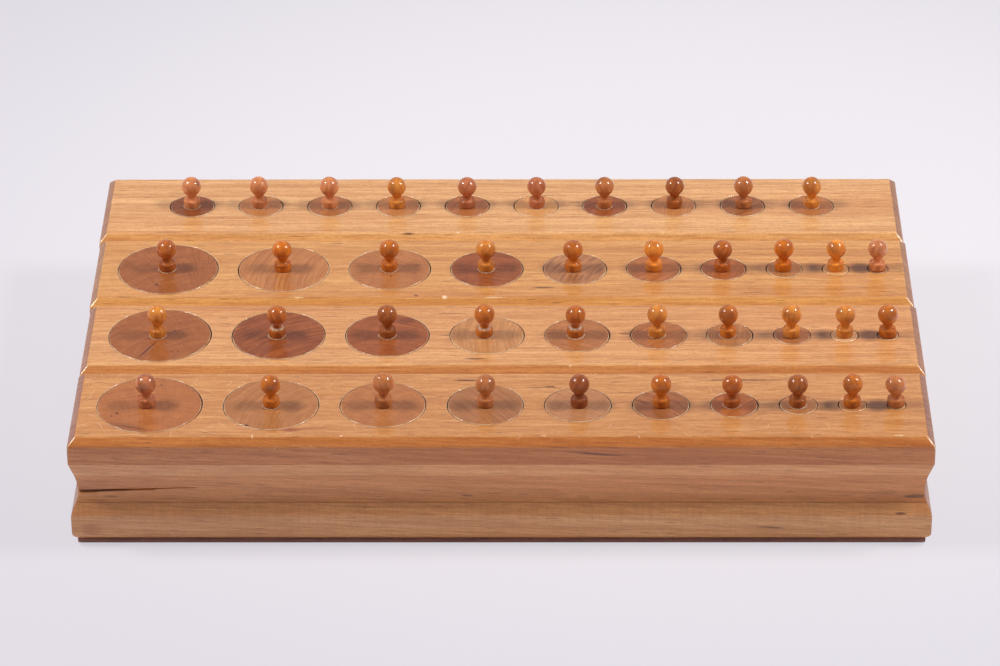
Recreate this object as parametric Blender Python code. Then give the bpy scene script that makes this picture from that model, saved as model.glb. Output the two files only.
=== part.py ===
"""A set of four knobbed cylinder blocks.

Each is a long wooden block with ten blind holes in a row, glued on a thin dark board. Every hole
holds a loose wooden cylinder, level with the top of the block, that lifts out by a small turned knob.

Metres, +Z up. X runs along the blocks and Y across them, from the front block to the back one.
The origin is on the ground under the middle of the set.
"""

import math

import bmesh
import bpy

for old_object in list(bpy.data.objects):
    bpy.data.objects.remove(old_object)

# Sizes of a block
block_length = 0.445
block_width = 0.071
block_height = 0.061
block_gap = 0.0003

# The blocks were pushed together by hand, so their ends are out of line. Each has its share of the
# largest shift along X, from the front block to the back one
row_shift = 0.0008
row_shift_shares = (0.7, 1, 0, -1)

# The chamfers along a block's top and its foot
top_chamfer = 0.004
foot_chamfer = 0.0028

# The thin board under a block, which lies in from the block's sides all round
base_thickness = 0.0025
base_inset = 0.0026
base_gap = 0.0003

# The cove, a hollow moulding that runs round all four sides of a block
cove_bottom = 0.0145
cove_height = 0.0324
cove_depth = 0.0041
# Each point is a share of the cove's height, from its lower edge, and a share of its depth
cove_shares = ((0, 0), (0.08, 0.17), (0.23, 0.72), (0.43, 1), (0.58, 0.9), (0.75, 0.58), (0.88, 0.2), (1, 0))

# The holes: three blocks have ten diameters in equal steps, and the back block has one diameter
holes_per_block = 10
largest_hole = 0.055
hole_step = 0.005
end_wall = 0.01275
even_hole = 0.025
even_end_wall = 0.03695

# The cylinders. The tallest leaves a floor of wood under its hole, and the others go down in equal steps
hole_floor = 0.0057
shortest_cylinder = 0.01
side_clearance = 0.0005
floor_clearance = 0.0003
eased_edge = 0.0006
tallest_cylinder = block_height - hole_floor - floor_clearance
height_step = (tallest_cylinder - shortest_cylinder) / (holes_per_block - 1)

# The knobs
knob_height = 0.0177
ball_diameter = 0.0106
neck_diameter = 0.0058
neck_above_collar = 0.0017
collar_diameter = 0.0088
collar_height = 0.0046
collar_bead = 0.0006
tenon_diameter = 0.005
tenon_length = 0.007
socket_clearance = 0.0003

# How finely round shapes are cut into flats, and how far a cutter runs past what it cuts
flat_length = 0.006
fewest_sides = 12
knob_sides = 12
ball_ring_degrees = (-52, -24, 4, 32, 60)
sharpest_smooth_degrees = 35
cutter_overrun = 0.002

# Colours of the woods, and how far each disc leans from the dark wood (0) to the light one (1)
block_colour = (0.63, 0.36, 0.17, 1)
light_colour = (0.60, 0.33, 0.16, 1)
dark_colour = (0.20, 0.07, 0.045, 1)
knob_colour = (0.44, 0.16, 0.07, 1)
base_colour = (0.075, 0.022, 0.013, 1)
wood_roughness = 0.3
base_roughness = 0.7

LEVEL, FALLING, RISING = "level", "falling", "rising"

# Each block from the front: its name, its holes' diameters, its cylinders' heights, and the discs' tones
ROWS = (
    ("front", FALLING, LEVEL, (0.55, 0.7, 0.7, 0.75, 0.85, 0.3, 0.45, 0.6, 0.8, 0.7)),
    ("second", FALLING, FALLING, (0.45, 0.6, 0.35, 0.75, 0.5, 0.55, 0.65, 0.5, 0.8, 0.6)),
    ("third", FALLING, RISING, (0.25, 0.6, 0.7, 0.1, 0.65, 0.6, 0.5, 0.6, 0.75, 0.65)),
    ("back", LEVEL, FALLING, (0.1, 0.85, 0.2, 0.75, 0.4, 0.8, 0.15, 0.6, 0.2, 0.7)),
)


def stepped(kind, largest, step, even):
    """Ten sizes in a row that fall or rise by one step each time, or stay the same."""
    falling = [largest - step * index for index in range(holes_per_block)]
    return {FALLING: falling, RISING: falling[::-1], LEVEL: [even] * holes_per_block}[kind]


def hole_places(diameters, end):
    """The X of each hole's axis, with the given wall at each end and equal walls between the holes."""
    wall = (block_length - 2 * end - sum(diameters)) / (holes_per_block - 1)
    edge = end - block_length / 2
    places = []
    for diameter in diameters:
        places.append(edge + diameter / 2)
        edge += diameter + wall
    return places


def sides_for(diameter):
    """How many flats a round hole and its cylinder share, a multiple of four."""
    return max(fewest_sides, 4 * round(math.pi * diameter / flat_length / 4))


def wood(name, colour, roughness=wood_roughness):
    material = bpy.data.materials.new(name)
    material.use_nodes = True
    finish = material.node_tree.nodes["Principled BSDF"]
    finish.inputs["Base Color"].default_value = colour
    finish.inputs["Roughness"].default_value = roughness
    finish.inputs["Metallic"].default_value = 0
    return material


def mixed(share):
    """A colour between the dark wood and the light one."""
    return tuple(dark + (light - dark) * share for dark, light in zip(dark_colour, light_colour))


def object_from(name, shape, parent=None, place=(0, 0, 0)):
    """Turns a finished bmesh into an object, and closes the bmesh."""
    bmesh.ops.recalc_face_normals(shape, faces=shape.faces)
    mesh = bpy.data.meshes.new(name)
    shape.to_mesh(mesh)
    shape.free()
    made = bpy.data.objects.new(name, mesh)
    bpy.context.scene.collection.objects.link(made)
    made.parent = parent
    made.location = place
    return made


def finish_round(piece, colour):
    piece.data.materials.append(wood(piece.name, colour))
    piece.data.shade_smooth()
    piece.data.set_sharp_from_angle(angle=math.radians(sharpest_smooth_degrees))


def rectangle(shape, inset, height):
    """Four corners that lie inset from a block's widest outline, at the given height."""
    half_length = block_length / 2 - inset
    half_width = block_width / 2 - inset
    corners = ((-half_length, -half_width), (half_length, -half_width),
               (half_length, half_width), (-half_length, half_width))
    return [shape.verts.new((x, y, height)) for x, y in corners]


def stack_rings(shape, rings, tip=None):
    """Joins rings of as many points each with side faces, and closes the ends, the top one to any tip."""
    for lower, upper in zip(rings, rings[1:]):
        for index in range(len(lower)):
            after = (index + 1) % len(lower)
            shape.faces.new((lower[index], lower[after], upper[after], upper[index]))
    shape.faces.new(rings[0][::-1])
    if tip is None:
        shape.faces.new(rings[-1])
        return
    for index, corner in enumerate(rings[-1]):
        shape.faces.new((corner, rings[-1][(index + 1) % len(rings[-1])], tip))


def turn_profile(shape, profile, sides, centre_x=0, tip_height=None):
    """Turns a profile of (radius, height) points, bottom to top, round an upright axis at centre_x."""
    rings = []
    for radius, height in profile:
        ring = []
        for index in range(sides):
            angle = math.tau * index / sides
            across = centre_x + radius * math.cos(angle)
            ring.append(shape.verts.new((across, radius * math.sin(angle), height)))
        rings.append(ring)
    tip = None if tip_height is None else shape.verts.new((centre_x, 0, tip_height))
    stack_rings(shape, rings, tip)


def helper(piece):
    """Marks a cutter or a blank as a guide that isn't part of the object."""
    piece.hide_render = True
    piece.display_type = "WIRE"
    return piece


def combine(piece, other, operation):
    modifier = piece.modifiers.new(other.name, "BOOLEAN")
    modifier.solver = "EXACT"
    modifier.operation = operation
    modifier.object = other


def block_profile():
    """How far each level of a block's side lies in from its widest, as (inset, height) from its foot up."""
    points = [(foot_chamfer, 0), (0, foot_chamfer)]
    for height_share, depth_share in cove_shares:
        points.append((cove_depth * depth_share, cove_bottom + cove_height * height_share))
    points += [(0, block_height - top_chamfer), (top_chamfer, block_height)]
    return points


def build_block(name, place_x, place_y, places, diameters, heights):
    """One block: rectangles stacked along its side profile, with a row of blind holes bored from the top."""
    shape = bmesh.new()
    stack_rings(shape, [rectangle(shape, inset, height) for inset, height in block_profile()])
    block = object_from(name, shape, place=(place_x, place_y, base_thickness + base_gap))
    block.data.materials.append(wood(name, block_colour))

    holes = bmesh.new()
    for hole_x, diameter, height in zip(places, diameters, heights):
        floor = block_height - height - floor_clearance
        wall = [(diameter / 2, floor), (diameter / 2, block_height + cutter_overrun)]
        turn_profile(holes, wall, sides_for(diameter), hole_x)
    combine(block, helper(object_from(name + "_holes", holes, parent=block)), "DIFFERENCE")
    return block


def build_base(name, block):
    """The board that a block is glued on, with its underside on the ground."""
    shape = bmesh.new()
    stack_rings(shape, [rectangle(shape, base_inset, height) for height in (0, base_thickness)])
    base = object_from(name, shape, parent=block, place=(0, 0, -base_thickness - base_gap))
    base.data.materials.append(wood(name, base_colour, base_roughness))


def ball_profile():
    """The knob's ball as rings at chosen angles above and below its middle."""
    radius = ball_diameter / 2
    middle = knob_height - radius
    points = []
    for degrees in ball_ring_degrees:
        angle = math.radians(degrees)
        points.append((radius * math.cos(angle), middle + radius * math.sin(angle)))
    return points


def build_knob(name, parent, seat, foot):
    """A turned knob whose collar stands on the height seat, with the given foot profile below its collar."""
    collar_radius = collar_diameter / 2
    collar = [
        (collar_radius, 0),
        (collar_radius, collar_height - collar_bead),
        (collar_radius - collar_bead, collar_height),
        (neck_diameter / 2, collar_height + neck_above_collar),
    ]
    shape = bmesh.new()
    turn_profile(shape, foot + collar + ball_profile(), knob_sides, tip_height=knob_height)
    return object_from(name, shape, parent=parent, place=(0, 0, seat))


def build_cylinder(name, block, hole_x, diameter, height, tone):
    """A loose cylinder with eased edges, standing just clear of the floor of its hole."""
    radius = diameter / 2 - side_clearance
    profile = [
        (radius - eased_edge, 0),
        (radius, eased_edge),
        (radius, height - eased_edge),
        (radius - eased_edge, height),
    ]
    shape = bmesh.new()
    turn_profile(shape, profile, sides_for(diameter))
    cylinder = object_from(name, shape, parent=block, place=(hole_x, 0, block_height - height))
    finish_round(cylinder, mixed(tone))
    return cylinder


def cut_socket(cylinder, height):
    """Bores the blind socket that holds a knob's tenon, with clearance all round and below it."""
    radius = tenon_diameter / 2 + socket_clearance
    floor = height - tenon_length
    shape = bmesh.new()
    turn_profile(shape, [(radius, floor), (radius, height + cutter_overrun)], knob_sides)
    combine(cylinder, helper(object_from(cylinder.name + "_socket", shape, parent=cylinder)), "DIFFERENCE")


def fit_knob(row_name, number, cylinder, height):
    """The front block's knobs are pieces of their own. The others are one solid with their cylinder."""
    if row_name == "front":
        cut_socket(cylinder, height)
        tenon = [(tenon_diameter / 2, -tenon_length), (tenon_diameter / 2, 0)]
        knob = build_knob(f"front_knob_{number}", cylinder, height + socket_clearance, tenon)
        finish_round(knob, knob_colour)
    else:
        root = [(collar_diameter / 2, -collar_height)]
        combine(cylinder, helper(build_knob(cylinder.name + "_knob", cylinder, height, root)), "UNION")


def build_set():
    pitch = block_width + block_gap
    for index, (row_name, hole_kind, height_kind, tones) in enumerate(ROWS):
        diameters = stepped(hole_kind, largest_hole, hole_step, even_hole)
        heights = stepped(height_kind, tallest_cylinder, height_step, tallest_cylinder)
        places = hole_places(diameters, even_end_wall if hole_kind == LEVEL else end_wall)
        place_x = row_shift * row_shift_shares[index]
        place_y = pitch * (index - (len(ROWS) - 1) / 2)
        block = build_block(row_name + "_block", place_x, place_y, places, diameters, heights)
        build_base(row_name + "_base", block)
        for number, (hole_x, diameter, height, tone) in enumerate(zip(places, diameters, heights, tones), 1):
            name = f"{row_name}_cylinder_{number}"
            cylinder = build_cylinder(name, block, hole_x, diameter, height, tone)
            fit_knob(row_name, number, cylinder, height)


build_set()
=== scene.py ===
# %% [markdown]
# # Four knobbed cylinder blocks
# A classroom toy: four long blocks of lacquered wood lie side by side. Each has ten round holes, and
# every hole holds a loose wooden cylinder with a small turned knob on top. The child lifts the
# cylinders out and finds which hole each one belongs to.
#
# The working model is already made, and it fixes where everything is. This lesson dresses it. Every
# plain solid is hidden and a finer piece takes its place, with softened edges and real wood grain.
# First the model is loaded.

# %% Load the working model
import math

import bmesh
import bpy
from mathutils import Matrix, Vector, noise


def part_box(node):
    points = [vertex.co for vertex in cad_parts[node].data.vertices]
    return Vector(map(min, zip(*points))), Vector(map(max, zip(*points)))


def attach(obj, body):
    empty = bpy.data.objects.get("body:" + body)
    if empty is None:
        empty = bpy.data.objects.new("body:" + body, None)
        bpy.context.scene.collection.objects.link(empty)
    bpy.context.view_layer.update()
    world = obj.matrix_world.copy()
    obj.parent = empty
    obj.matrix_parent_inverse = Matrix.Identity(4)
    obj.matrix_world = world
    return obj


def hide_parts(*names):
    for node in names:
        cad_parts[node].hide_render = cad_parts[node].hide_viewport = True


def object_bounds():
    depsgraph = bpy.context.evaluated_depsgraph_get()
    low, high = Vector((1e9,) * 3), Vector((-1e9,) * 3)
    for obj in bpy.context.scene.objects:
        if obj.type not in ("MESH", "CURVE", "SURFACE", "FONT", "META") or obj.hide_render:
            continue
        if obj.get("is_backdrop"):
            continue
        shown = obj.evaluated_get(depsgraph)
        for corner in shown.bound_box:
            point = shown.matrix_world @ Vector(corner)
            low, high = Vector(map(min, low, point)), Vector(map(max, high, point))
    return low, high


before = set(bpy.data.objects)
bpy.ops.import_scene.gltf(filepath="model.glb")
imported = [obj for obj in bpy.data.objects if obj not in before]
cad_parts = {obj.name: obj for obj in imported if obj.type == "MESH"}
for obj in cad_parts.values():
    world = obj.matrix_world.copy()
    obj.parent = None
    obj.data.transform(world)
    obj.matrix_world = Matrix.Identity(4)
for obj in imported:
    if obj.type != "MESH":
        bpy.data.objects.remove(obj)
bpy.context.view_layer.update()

# %% [markdown]
# ## The camera
# The photograph was taken with a long lens from about two metres away, looking down by thirty
# degrees. A long lens keeps the four blocks nearly the same size from front to back. The camera's
# place and its three angles were found by matching the corners and the holes.
#
# A camera in Blender looks along its own -Z with +Y up, so its matrix is built from three directions:
# right, up, and the opposite of where it looks.

# %% Camera
camera_place = Vector((0.02135, -2.08701, 1.26905))
camera_turn = math.radians(-0.613)
camera_dip = math.radians(30.409)
camera_lean = math.radians(0.344)

forward = Vector((math.sin(camera_turn) * math.cos(camera_dip),
                  math.cos(camera_turn) * math.cos(camera_dip),
                  -math.sin(camera_dip)))
level = Vector((math.cos(camera_turn), -math.sin(camera_turn), 0))
below = forward.cross(level)
right = math.cos(camera_lean) * level + math.sin(camera_lean) * below
down = math.cos(camera_lean) * below - math.sin(camera_lean) * level

camera = bpy.data.objects.new("camera", bpy.data.cameras.new("camera"))
camera.data.lens = 161.06
camera.data.sensor_width = 36
camera.data.clip_start = 0.05
camera.data.clip_end = 60
directions = Matrix((right, -down, -forward)).transposed().to_4x4()
camera.matrix_world = Matrix.Translation(camera_place) @ directions
bpy.context.scene.collection.objects.link(camera)
bpy.context.scene.camera = camera
bpy.context.scene.view_settings.view_transform = "Standard"

# %% [markdown]
# ## Nodes by hand
# Every finish in this lesson is a tree of shader nodes. Adding a node takes several lines each time,
# so helpers do it. `open_tree` takes a tree in hand. `add` puts a node in it and changes its settings,
# and `feed` fills its inputs, each with either a plain value or a wire from another node. A colour is
# written as red, green and blue, and the fourth number that Blender asks for is added.

# %% Helpers that add nodes
def open_tree(owner, empty=False):
    """Takes the node tree of a material or a world in hand."""
    global tree
    owner.use_nodes = True
    tree = owner.node_tree
    if empty:
        tree.nodes.clear()


def feed(node, inputs):
    """Fills inputs of a node, each with a value or with another node's output."""
    for socket, value in inputs.items():
        if isinstance(value, bpy.types.NodeSocket):
            tree.links.new(value, node.inputs[socket])
        elif node.inputs[socket].type == "RGBA":
            node.inputs[socket].default_value = (*value, 1)
        else:
            node.inputs[socket].default_value = value


def add(kind, inputs=None, **settings):
    """Adds one shader node to the tree in hand and returns it."""
    node = tree.nodes.new("ShaderNode" + kind)
    for setting, value in settings.items():
        setattr(node, setting, value)
    feed(node, inputs or {})
    return node


# %% [markdown]
# Most of the nodes only calculate. These few wrap them: any sum of two values, the product and the
# largest of several, a value moved to another range, and two colours mixed.

# %% Helpers that calculate
def sum_up(operation, first, second=0):
    """The output of one Math node."""
    return add("Math", {0: first, 1: second}, operation=operation).outputs[0]


def times(first, *others):
    for other in others:
        first = sum_up("MULTIPLY", first, other)
    return first


def most(first, *others):
    for other in others:
        first = sum_up("MAXIMUM", first, other)
    return first


def spread(value, low, high, new_low=0, new_high=1, how="SMOOTHSTEP"):
    """Moves a value from one range to another and holds it inside the new one."""
    inputs = {"Value": value, "From Min": low, "From Max": high, "To Min": new_low, "To Max": new_high}
    return add("MapRange", inputs, interpolation_type=how).outputs[0]


def mixed(share, first, second, blend="MIX"):
    """One colour laid over another. share is how much of the second."""
    inputs = {"Factor": share, "A": first, "B": second}
    return add("Mix", inputs, data_type="RGBA", blend_type=blend).outputs["Result"]


# %% [markdown]
# ## Floor and light
# The floor is a big pale sheet with a breath of lilac. It does two jobs. For every ray of light that
# bounces about it is an ordinary matt white, so it throws soft light up onto the front of the blocks.
# For the camera it is brighter than its shadows would let it be, as the bright sheet is in the
# photograph: most of its colour is simply given, and only a share of it answers to light and shade.
#
# The floor's colour holds a painted pool of light: brightest close round the blocks, and darker and
# more lilac away from them, a little sooner on the left.

# %% Floor
floor_near, floor_far = (0.85, 0.825, 0.865), (0.73, 0.70, 0.765)
floor_bounce = (0.85, 0.80, 0.83)
floor_answer = 0.27
painted_pool_middle = (0.10, 0.20, 0)
near_until, far_from = 0.14, 0.62
floor_half = 14

floor_shape = bpy.data.meshes.new("floor")
floor_corners = [(-floor_half, -floor_half, 0), (floor_half, -floor_half, 0),
                 (floor_half, floor_half, 0), (-floor_half, floor_half, 0)]
floor_shape.from_pydata(floor_corners, [], [(0, 1, 2, 3)])
floor = bpy.data.objects.new("floor", floor_shape)
bpy.context.scene.collection.objects.link(floor)
floor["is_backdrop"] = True

floor_paper = bpy.data.materials.new("floor_paper")
floor_shape.materials.append(floor_paper)
open_tree(floor_paper, empty=True)
place = add("TexCoord").outputs["Object"]
# Painted light: a pool of light painted into the floor's tone, fading with distance from the blocks.
away = add("VectorMath", {0: place, 1: painted_pool_middle}, operation="DISTANCE").outputs["Value"]
tone = mixed(spread(away, near_until, far_from), floor_near, floor_far)
matt = add("BsdfDiffuse", {"Color": floor_bounce}).outputs[0]
given = add("Emission", {"Color": tone, "Strength": 1 - floor_answer}).outputs[0]
shaded = add("BsdfDiffuse", {"Color": mixed(floor_answer, (0, 0, 0), tone)}).outputs[0]
seen = add("AddShader", {0: given, 1: shaded}).outputs[0]
to_camera = add("LightPath").outputs["Is Camera Ray"]
add("OutputMaterial", {"Surface": add("MixShader", {0: to_camera, 1: matt, 2: seen}).outputs[0]})
print("floor", 2 * floor_half, "m across")

# %% [markdown]
# The light comes from two softboxes, high on the left and on the right. They give each knob its two
# small highlights and its two soft shadows. Lamps in Blender are measured in watts, and their distance
# and size decide how soft the shadows are.

# %% Softboxes
softbox_distance = 1.6
softbox_watts = 16
softbox_width, softbox_height = 0.42, 0.36
softbox_tone = (1, 0.975, 0.965)
aside, ahead, up = 0.655, -0.02, 0.758
for side in (-1, 1):
    lamp = bpy.data.lights.new("softbox", "AREA")
    lamp.shape = "RECTANGLE"
    lamp.size = softbox_width
    lamp.size_y = softbox_height
    lamp.energy = softbox_watts
    lamp.color = softbox_tone
    softbox = bpy.data.objects.new("softbox", lamp)
    softbox.location = softbox_distance * Vector((aside * side, ahead, up))
    softbox.rotation_euler = softbox.location.to_track_quat("Z", "Y").to_euler()
    bpy.context.scene.collection.objects.link(softbox)
print("two softboxes of", softbox_watts, "W")

# %% [markdown]
# Around them is a dim studio with a paler wall at the far side and a low screen behind the camera.
# They matter more than it seems. At the camera's low angle the lacquer mirrors the wall, which lays a
# pale veil over the tops of the blocks, and where a knob stands in the way of it, the wood shows in
# its full colour. The screen does the same for the sloping part low on the front.
#
# A world has no places, only directions. Y says how far ahead a direction points, and Z how far up.

# %% Studio
studio_dim, backdrop = (0.20, 0.19, 0.20), (0.88, 0.86, 0.89)
wall_tone, screen_tone = (0.50, 0.48, 0.51), (0.50, 0.48, 0.50)
wall_ahead, wall_top = (0.1, 0.75), (0.55, 0.85)
screen_ahead, screen_top = (-0.5, -0.85), (0.28, 0.42)

studio = bpy.data.worlds.new("studio")
bpy.context.scene.world = studio
open_tree(studio, empty=True)
way = add("SeparateXYZ", {0: add("TexCoord").outputs["Generated"]})
wall = times(spread(way.outputs["Y"], *wall_ahead), spread(way.outputs["Z"], *wall_top, 1, 0))
screen = times(spread(way.outputs["Y"], *screen_ahead), spread(way.outputs["Z"], *screen_top, 1, 0))
around = mixed(screen, mixed(wall, studio_dim, wall_tone), screen_tone)
seen = mixed(add("LightPath").outputs["Is Camera Ray"], around, backdrop)
add("OutputWorld", {"Surface": add("Background", {"Color": seen}).outputs[0]})
print("studio around the blocks")

# %% [markdown]
# ## Making a mesh
# Each wooden piece is built point by point. A few helpers serve all of them.
#
# `soften` takes a line of points, such as the moulding of a block, and rounds its corners. No edge of
# a sanded piece of wood is really sharp, and the small curve is what catches the light.
#
# `mesh_piece` turns corners and faces into a smooth-shaded object. It can also store a number at each
# corner under the name `wear`, which the wood finish reads later to show where lacquer has chipped.

# %% Helpers for shapes
def soften(line, steps=3):
    """Rounds the corners of a line of (across, up, reach, worn) points. Gives (across, up, worn) points.

    reach is how far from a corner its curve starts.
    """
    points = [Vector(point[:2]) for point in line]
    smooth = [(*points[0], line[0][3])]
    for index in range(1, len(points) - 1):
        before, corner, after = points[index - 1:index + 2]
        reach, worn = line[index][2:]
        if reach == 0:
            smooth.append((*corner, worn))
            continue
        start = corner + (before - corner).normalized() * min(reach, 0.48 * (before - corner).length)
        end = corner + (after - corner).normalized() * min(reach, 0.48 * (after - corner).length)
        for step in range(steps + 1):
            share = step / steps
            smooth.append((*start.lerp(corner, share).lerp(corner.lerp(end, share), share), worn))
    return smooth + [(*points[-1], line[-1][3])]


def mesh_piece(name, corners, faces, place=(0, 0, 0), wear=None):
    """A smooth-shaded object from corners and faces, standing at a place."""
    shape = bpy.data.meshes.new(name)
    shape.from_pydata(corners, [], faces)
    shape.shade_smooth()
    if wear:
        shape.attributes.new("wear", "FLOAT", "POINT").data.foreach_set("value", wear)
    piece = bpy.data.objects.new(name, shape)
    piece.location = place
    bpy.context.scene.collection.objects.link(piece)
    return piece


def face_outward(piece):
    """Makes all the faces of a piece look outward."""
    shape = bmesh.new()
    shape.from_mesh(piece.data)
    bmesh.ops.recalc_face_normals(shape, faces=shape.faces)
    shape.to_mesh(piece.data)
    shape.free()


# %% [markdown]
# Blocks, boards and even a crack can be built ring by ring: one ring of points goes round the piece,
# the next one lies below or beside it, and four-sided faces join the two.

# %% A skin of rings
class Skin:
    """The corners of a piece, how worn each is, and the faces between them."""

    def __init__(self):
        self.corners, self.wear, self.faces = [], [], []

    def ring(self, points, worn=0):
        """Adds a ring of points and returns their numbers. worn is one number, or one for each point."""
        start = len(self.corners)
        self.corners.extend(points)
        self.wear.extend(worn if isinstance(worn, list) else [worn] * len(points))
        return list(range(start, len(self.corners)))

    def join(self, *rings):
        """Joins each ring to the next one. All have as many points."""
        for upper, lower in zip(rings, rings[1:]):
            for index in range(len(upper)):
                after = (index + 1) % len(upper)
                self.faces.append((upper[index], lower[index], lower[after], upper[after]))


# %% [markdown]
# ## What the model says about each hole
# The holes, cylinders and knobs all have their places in the model, so nothing is measured twice. The
# box round each cylinder gives its middle, its radius, and how deep its hole is.

# %% Read the holes from the model
row_names = ("front", "second", "third", "back")
holes_in_row = 10
hole_numbers = range(1, holes_in_row + 1)
side_clearance = 0.0005
floor_clearance = 0.0003
deck_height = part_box("front_block")[1].z

rows = {}
for row in row_names:
    rows[row] = []
    for number in hole_numbers:
        low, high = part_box(f"{row}_cylinder_{number}")
        rows[row].append({"x": (low.x + high.x) / 2, "y": (low.y + high.y) / 2,
                          "radius": (high.x - low.x) / 2, "bottom": low.z})
    across = [round(2000 * (hole["radius"] + side_clearance)) for hole in rows[row]]
    print(row, "holes", across, "mm across")

# %% [markdown]
# ## The blocks
# A block is a long bar with a moulded side. From the top: a chamfer, a flat band, a cove that curves
# in and out again with a faint ridge low down, a second band, and a small chamfer at the foot. The
# same moulding runs round all four sides.
#
# It could be made with a cutter and the Boolean modifier. Here it is built in rings instead: one ring
# of points follows the outline of the block, and it is repeated at every level of the moulding, moved
# in or out. This keeps the faces even, and a point can be placed beside each edge, where wear shows.
#
# The numbers are how far in, how high above the foot, how softly the corner there is rounded, and
# how worn it is. The two edges of the top chamfer are a little worn, and a point close beside each
# keeps the wear in a thin line.

# %% The moulding of a block's side
top_chamfer = 0.004
foot_chamfer = 0.0028
edge_strip = 0.0016
beside = 0.0012
foot_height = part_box("front_block")[0].z
block_height = deck_height - foot_height
moulding = soften([
    (top_chamfer + edge_strip, block_height, 0, 0),
    (top_chamfer, block_height, 0.0008, 0.8),
    (top_chamfer - beside, block_height - beside, 0, 0),
    (beside, block_height - top_chamfer + beside, 0, 0),
    (0, block_height - top_chamfer, 0.0009, 0.8),
    (0, block_height - top_chamfer - 2 * beside, 0, 0),
    (0, 0.0466, 0.0003, 0),
    (0.0006, 0.0445, 0.0009, 0),
    (0.0013, 0.0421, 0.001, 0),
    (0.0025, 0.0385, 0.002, 0),
    (0.0035, 0.0345, 0.002, 0),
    (0.0040, 0.0300, 0.002, 0),
    (0.0041, 0.0258, 0.002, 0),
    (0.0029, 0.0219, 0.0005, 0),
    (0.0016, 0.0191, 0.0008, 0),
    (0.0006, 0.0167, 0.0008, 0),
    (0, 0.0145, 0.0009, 0),
    (0, foot_chamfer, 0.0018, 0),
    (foot_chamfer, 0, 0.0008, 0),
    (foot_chamfer + edge_strip, 0, 0, 0),
])
print("moulding drawn with", len(moulding), "points, up from", round(1000 * foot_height, 1), "mm")

# %% [markdown]
# The top of a block, its deck, is a flat face with ten round holes in it. A face can't have a hole, so
# the deck is divided into ten cells with one hole each, and every cell is filled with a fan of
# four-sided faces between the round edge and the four straight ones. Both have 96 points, so the
# first point of one joins the first point of the other, and so on round.
#
# The outline of a block is written once, as a list of points that know whether they belong to a
# corner. Points near a corner keep their distance from it when the ring moves in, and they follow a
# small arc, so the upright edges are rounded too.

# %% The outline of a block
side_steps = 24
corner_round = 0.0008
corner_points = (0, 0.0004, 0.0009, 0.0019)


def stations(start, end, from_corner=False, to_corner=False):
    """Places along one side of a cell, as (place, distance from a corner or None), without the last one."""
    first = len(corner_points) if from_corner else 0
    last = len(corner_points) if to_corner else 0
    run_start = start + (corner_points[-1] if from_corner else 0)
    run_end = end - (corner_points[-1] if to_corner else 0)
    found = [(start + reach, reach) for reach in corner_points[:first]]
    steps = side_steps - max(first - 1, 0) - max(last - 1, 0)
    begin = 1 if from_corner else 0
    found += [(run_start + (run_end - run_start) * step / steps, None) for step in range(begin, steps)]
    found += [(end - reach, reach) for reach in reversed(corner_points[1:last])]
    return found


def rounded(along, across, reach, sign):
    """Moves a point that is near a corner onto the corner's arc. sign says which way the inside is."""
    if reach is None or reach >= corner_round:
        return along, across
    angle = math.radians(45) * (1 - reach / corner_round)
    start = along - sign[0] * reach
    return (start + sign[0] * corner_round * (1 - math.sin(angle)),
            across + sign[1] * corner_round * (1 - math.cos(angle)))


def outline(low, high, cell_edges, inset):
    """One ring round a block as (x, y, distance from a corner or None), anticlockwise from front left."""
    left, right = low.x + inset, high.x - inset
    front, back = low.y + inset, high.y - inset
    edges = [left] + cell_edges + [right]
    front_side = []
    for index, (start, end) in enumerate(zip(edges, edges[1:])):
        front_side += stations(start, end, index == 0, index == len(edges) - 2)
    right_side = stations(front, back, True, True)
    back_side = [(right, 0)] + front_side[:0:-1]
    left_side = [(back, 0)] + right_side[:0:-1]
    ring = []
    for side, across, inside, along_x in ((front_side, front, 1, True), (right_side, right, -1, False),
                                          (back_side, back, -1, True), (left_side, left, 1, False)):
        middle = (left + right) / 2 if along_x else (front + back) / 2
        for along, reach in side:
            point = rounded(along, across, reach, (1 if along < middle else -1, inside))
            ring.append((*point, reach) if along_x else (*point[::-1], reach))
    return ring


def tenths(low, high):
    """Nine even places between the two ends."""
    return [low.x + (high.x - low.x) * step / 10 for step in range(1, 10)]


low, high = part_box("front_block")
print("outline of a block has", len(outline(low, high, tenths(low, high), 0)), "points")

# %% [markdown]
# Now the block's sides. The rings of the moulding are stacked and joined.
#
# Years of use have chipped the lacquer. The chips come from noise: a function that gives a smooth
# random number for every place. Where the number is high, an edge is eased further. The long edges of
# the chamfer have a few nicks, and its mitred corners, which take every knock, are worn through along
# their whole length. `wear` is 1 on the edge of a hole, 0.8 on a long edge, 2 along a mitre, and 0 a
# millimetre away from any of them.

# %% The sides of a block
mitre_wear = {corner_points[0]: 2, corner_points[1]: 1}
nick_depth, nick_scale, nick_start = 0.0003, 320, 0.3


def chipping(place, scale, start):
    """0 where an edge is whole, up to about 1 where a chip has gone."""
    return max(0, noise.noise(Vector(place) * scale) - start) / (1 - start)


def add_sides(skin, low, high, cell_edges):
    """Adds the moulding and the flat foot, and returns the ring round the deck."""
    rings = []
    for inset, height, worn in moulding:
        on_chamfer = inset <= top_chamfer and height > block_height - top_chamfer - beside
        ring, ring_wear = [], []
        for x, y, reach in outline(low, high, cell_edges, inset):
            mitre = mitre_wear.get(reach, 0) if on_chamfer else 0
            on_end = min(x - low.x, high.x - x) < inset + 0.5 * corner_round
            long_edge = 0 if on_end else worn
            dent = nick_depth * long_edge * chipping((x, y, height), nick_scale, nick_start)
            ring.append((x, y, foot_height + height - dent))
            ring_wear.append(max(long_edge, mitre))
        rings.append(skin.ring(ring, ring_wear))
    skin.join(*rings)
    skin.faces.append(rings[-1][::-1])
    return rings[0]


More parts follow.
